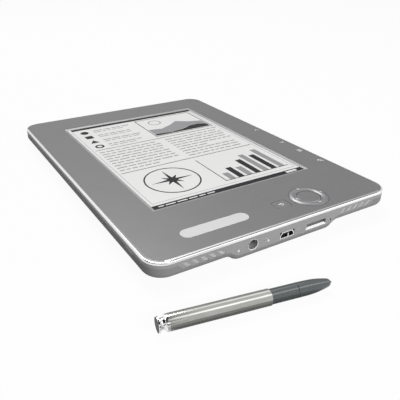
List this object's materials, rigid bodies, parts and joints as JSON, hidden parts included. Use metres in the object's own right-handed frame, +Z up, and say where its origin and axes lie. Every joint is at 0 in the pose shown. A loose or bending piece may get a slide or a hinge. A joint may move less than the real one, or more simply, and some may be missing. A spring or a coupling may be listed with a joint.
{
  "type": "personal digital assistant",
  "caption": "Flat pen-input reader tablet with a six-inch paper-like display, face and edge keys, a port edge with speaker louvres, and a telescopic stylus lying in front.",
  "frame": {"origin": "middle of the flat belly that the case rests on", "axes": "+Z up through the face, +Y to the top edge, ports and stylus on the -Y side, +X to the edge with the side keys"},
  "size_m": [0.1412, 0.2191, 0.0116],
  "materials": {
    "tub_plastic": "satin paint",
    "polished_aluminium": "polished",
    "face_aluminium": "fine satin anodised",
    "badge_plastic": "gloss",
    "screw_steel": "satin",
    "panel_plastic": "satin paint",
    "mesh_steel": "woven",
    "black_plastic": "moulded",
    "light_pipe": "clear white",
    "socket_steel": "tinned",
    "screen_paper": "matt film",
    "frame_plastic": "satin",
    "board_laminate": "solder mask",
    "battery_foil": "laminated foil",
    "flex_film": "polyimide",
    "key_plastic": "painted",
    "pen_plastic": "satin",
    "coil_copper": "wound wire",
    "brushed_steel": "lengthwise brushed",
    "chrome": "bright"
  },
  "bodies": {
    "device": {"back_cover": "tub_plastic", "upper_shell": "panel_plastic", "trim_ring": "polished_aluminium", "front_plate": "face_aluminium", "badge_plate": "badge_plastic", "case_screws": "screw_steel", "port_panel": "panel_plastic", "speaker_mesh": "mesh_steel", "speaker_left": "black_plastic", "speaker_right": "black_plastic", "indicator_lights": "light_pipe", "headphone_jack": "black_plastic", "usb_socket": "socket_steel", "usb_tongue": "black_plastic", "card_socket": "socket_steel", "epaper_panel": "screen_paper", "screen_frame": "frame_plastic", "pen_sensor_board": "board_laminate", "mid_frame": "black_plastic", "main_board": "board_laminate", "processor_shield": "socket_steel", "light_emitters": "light_pipe", "reset_switch": "black_plastic", "battery": "battery_foil", "display_connector": "black_plastic", "display_flex": "flex_film", "dome_switches": "socket_steel", "side_switches": "black_plastic", "side_board": "board_laminate", "power_switch": "black_plastic"},
    "nav_pivot": {"nav_pivot_ring": "black_plastic"},
    "nav_rocker": {"nav_rocker": "key_plastic"},
    "centre_key": {"centre_key": "key_plastic"},
    "back_key": {"back_key": "key_plastic"},
    "page_back_key": {"page_back_key": "key_plastic"},
    "page_forward_key": {"page_forward_key": "key_plastic"},
    "menu_key": {"menu_key": "key_plastic"},
    "zoom_key": {"zoom_key": "key_plastic"},
    "power_key": {"power_key": "key_plastic"},
    "stylus": {"stylus_grip": "pen_plastic", "stylus_nose": "pen_plastic", "stylus_coil": "coil_copper"},
    "stylus_barrel": {"stylus_sleeve": "brushed_steel", "stylus_collar": "chrome", "stylus_end_disc": "pen_plastic"},
    "stylus_nib": {"stylus_nib": "pen_plastic"}
  },
  "joints": [
    {"name": "nav_tilt_up_down", "type": "hinge", "parent": "device", "child": "nav_pivot", "pos_m": [0.0253, -0.0783, 0.00875], "axis": [1, 0, 0], "range_deg": [-1.8, 1.8], "stiffness_Nm_per_rad": 0.2},
    {"name": "nav_tilt_left_right", "type": "hinge", "parent": "nav_pivot", "child": "nav_rocker", "pos_m": [0.0253, -0.0783, 0.00875], "axis": [0, 1, 0], "range_deg": [-1.8, 1.8], "stiffness_Nm_per_rad": 0.2},
    {"name": "centre_key_press", "type": "slide", "parent": "device", "child": "centre_key", "axis": [0, 0, -1], "range_m": [0, 0.0003], "stiffness_N_per_m": 500, "springref_m": -0.0002},
    {"name": "back_key_press", "type": "slide", "parent": "device", "child": "back_key", "axis": [0, 0, -1], "range_m": [0, 0.0003], "stiffness_N_per_m": 500, "springref_m": -0.0002},
    {"name": "page_back_press", "type": "slide", "parent": "device", "child": "page_back_key", "axis": [-1, 0, 0], "range_m": [0, 0.00035], "stiffness_N_per_m": 500, "springref_m": -0.0002},
    {"name": "page_forward_press", "type": "slide", "parent": "device", "child": "page_forward_key", "axis": [-1, 0, 0], "range_m": [0, 0.00035], "stiffness_N_per_m": 500, "springref_m": -0.0002},
    {"name": "menu_press", "type": "slide", "parent": "device", "child": "menu_key", "axis": [-1, 0, 0], "range_m": [0, 0.00035], "stiffness_N_per_m": 500, "springref_m": -0.0002},
    {"name": "zoom_press", "type": "slide", "parent": "device", "child": "zoom_key", "axis": [-1, 0, 0], "range_m": [0, 0.00035], "stiffness_N_per_m": 500, "springref_m": -0.0002},
    {"name": "power_key_press", "type": "slide", "parent": "device", "child": "power_key", "axis": [0, -1, 0], "range_m": [0, 0.00035], "stiffness_N_per_m": 500, "springref_m": -0.0002},
    {"name": "stylus_lift", "type": "slide", "parent": "device", "child": "stylus", "axis": [0, 0, 1], "range_m": [0, 0.06]},
    {"name": "stylus_extend", "type": "slide", "parent": "stylus", "child": "stylus_barrel", "axis": [-0.9842, 0.1771, 0], "range_m": [0, 0.025]},
    {"name": "nib_press", "type": "slide", "parent": "stylus", "child": "stylus_nib", "axis": [-0.9842, 0.1771, 0], "range_m": [0, 0.0004], "stiffness_N_per_m": 500, "springref_m": -0.0002}
  ]
}
